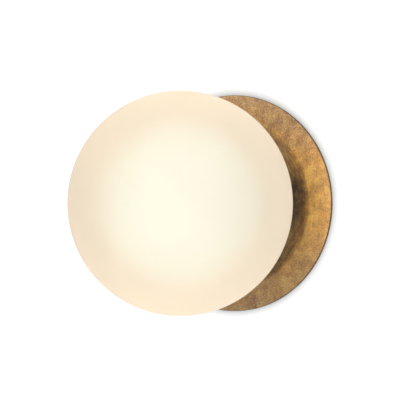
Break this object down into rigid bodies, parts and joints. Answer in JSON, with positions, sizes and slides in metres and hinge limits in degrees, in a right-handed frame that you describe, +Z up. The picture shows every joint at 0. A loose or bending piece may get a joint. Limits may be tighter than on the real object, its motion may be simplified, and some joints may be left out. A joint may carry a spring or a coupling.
{
  "type": "flush mount wall sconce",
  "caption": "Wall light with an opal glass globe held by spring clips in a round brass drum on a disc-shaped wall plate, with a screw-in bulb and a strap for a wall box.",
  "frame": {"origin": "centre of the wall plate's back face, on the wall", "axes": "+Y into the wall, the globe points along -Y, +Z up, +X to the viewer's right"},
  "size_m": [0.2, 0.208, 0.2],
  "materials": {
    "aged_brass": "mottled aged patina",
    "bright_brass": "machined",
    "zinc_steel": "zinc plated",
    "nickel": "nickel plated",
    "spring_steel": "spring temper",
    "earth_green": "green plated",
    "tinned_copper": "tinned",
    "white_paint": "powder coat",
    "opal_glass": "etched opal, lit",
    "silicone": "matt silicone",
    "black_rubber": "matt",
    "porcelain": "glazed porcelain",
    "black_wire": "satin",
    "white_wire": "satin",
    "green_wire": "satin",
    "nylon": "moulded",
    "black_insulator": "glassy",
    "bulb_white": "moulded",
    "bulb_frost": "frosted, lit",
    "board_white": "solder mask",
    "led_phosphor": "phosphor"
  },
  "bodies": {
    "fixture": {"backplate": "aged_brass", "drum": "aged_brass", "standoffs": "bright_brass", "terminal_tubes": "bright_brass", "centre_contact": "bright_brass", "mounting_strap": "zinc_steel", "strap_studs": "zinc_steel", "stud_locknuts": "zinc_steel", "cap_washers": "zinc_steel", "rear_screws": "zinc_steel", "front_screws": "zinc_steel", "clip_rivets": "zinc_steel", "lampholder_screws": "zinc_steel", "block_screws": "zinc_steel", "terminal_screws": "zinc_steel", "shell_rivets": "zinc_steel", "contact_screw": "zinc_steel", "cap_nuts": "nickel", "screw_shell": "nickel", "globe_clips": "spring_steel", "earth_screw": "earth_green", "earth_lug": "tinned_copper", "chassis_plate": "white_paint", "seat_gasket": "silicone", "lead_grommet": "black_rubber", "lampholder_body": "porcelain", "live_lead": "black_wire", "neutral_lead": "white_wire", "earth_lead": "green_wire", "terminal_block": "nylon"},
    "globe": {"opal_globe": "opal_glass"},
    "bulb_tip": {"bulb_contact": "nickel"},
    "bulb": {"bulb_insulator": "black_insulator", "bulb_cap": "nickel", "bulb_housing": "bulb_white", "led_board": "board_white", "led_chips": "led_phosphor", "bulb_diffuser": "bulb_frost"}
  },
  "joints": [
    {"name": "globe_pull", "type": "slide", "parent": "fixture", "child": "globe", "axis": [0, -1, 0], "range_m": [0, 0.15], "deforming": ["globe_clips"]},
    {"name": "bulb_advance", "type": "slide", "parent": "fixture", "child": "bulb_tip", "axis": [0, -1, 0], "range_m": [0, 0.0182]},
    {"name": "bulb_turn", "type": "hinge", "parent": "bulb_tip", "child": "bulb", "pos_m": [0, -0.0311, 0], "axis": [0, -1, 0], "range_deg": [0, 1800]}
  ],
  "couplings": [
    {"joint": "bulb_advance", "follows": "bulb_turn", "m_per_rad": 0.00057757}
  ]
}
